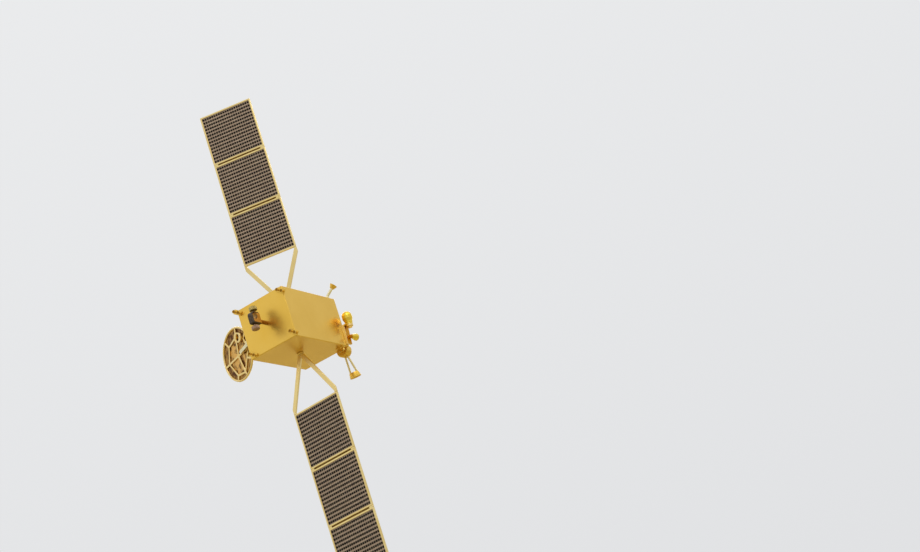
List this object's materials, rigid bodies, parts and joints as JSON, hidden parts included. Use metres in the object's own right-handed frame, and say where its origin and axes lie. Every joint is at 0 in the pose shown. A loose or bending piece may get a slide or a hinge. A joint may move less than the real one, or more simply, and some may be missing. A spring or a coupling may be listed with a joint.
{
  "type": "gold display model of a satellite",
  "caption": "Box-bodied satellite display model with turning three-panel solar wings on V yokes, a ribbed dish, small horns and a clamp for a ring tube.",
  "frame": {"origin": "on the axis of the ring tube, in the middle of the clamp's bore", "axes": "+X along the ring tube, +Y from the clamp through the body to the Earth end, +Z along the wing axis to the upper wing's tip"},
  "size_m": [0.218, 0.2288, 0.9048],
  "materials": {
    "gold_paint": "satin gold lacquer",
    "solar_cells": "printed cell film with pale lines",
    "clamp_steel": "dull steel",
    "bolt_steel": "oiled steel"
  },
  "bodies": {
    "bus": {"array_elements": "gold_paint", "array_plate": "gold_paint", "bus_body": "gold_paint", "clamp_saddle": "clamp_steel", "clamp_screws": "bolt_steel", "clamp_strap": "clamp_steel", "dish_arm": "gold_paint", "dish_lug": "gold_paint", "dish_reflector": "gold_paint", "dish_ribs": "gold_paint", "earth_sensor": "gold_paint", "feed_bracket": "gold_paint", "feed_horn": "gold_paint", "holder_rod": "bolt_steel", "horn_bracket": "gold_paint", "horn_cone": "gold_paint", "horn_dome": "gold_paint", "horn_waveguide": "gold_paint", "lower_antenna_cup": "gold_paint", "lower_antenna_drum": "gold_paint", "lower_antenna_rods": "gold_paint", "thrusters_bottom": "gold_paint", "thrusters_left_bottom": "gold_paint", "thrusters_left_top": "gold_paint", "thrusters_right_bottom": "gold_paint", "thrusters_right_top": "gold_paint", "thrusters_top": "gold_paint", "upper_antenna_cup": "gold_paint", "upper_antenna_rod": "gold_paint"},
    "upper_wing": {"upper_cells_1": "solar_cells", "upper_cells_2": "solar_cells", "upper_cells_3": "solar_cells", "upper_hub": "gold_paint", "upper_panel_1": "gold_paint", "upper_panel_2": "gold_paint", "upper_panel_3": "gold_paint", "upper_panel_links": "gold_paint", "upper_yoke_left": "gold_paint", "upper_yoke_right": "gold_paint"},
    "lower_wing": {"lower_cells_1": "solar_cells", "lower_cells_2": "solar_cells", "lower_cells_3": "solar_cells", "lower_hub": "gold_paint", "lower_panel_1": "gold_paint", "lower_panel_2": "gold_paint", "lower_panel_3": "gold_paint", "lower_panel_links": "gold_paint", "lower_yoke_left": "gold_paint", "lower_yoke_right": "gold_paint"}
  },
  "joints": [
    {"name": "upper_wing_turn", "type": "hinge", "parent": "bus", "child": "upper_wing", "pos_m": [0, 0.109, 0.0401], "axis": [0, 0, 1], "continuous": true},
    {"name": "lower_wing_turn", "type": "hinge", "parent": "bus", "child": "lower_wing", "pos_m": [0, 0.109, -0.0539], "axis": [0, 0, 1], "continuous": true}
  ]
}
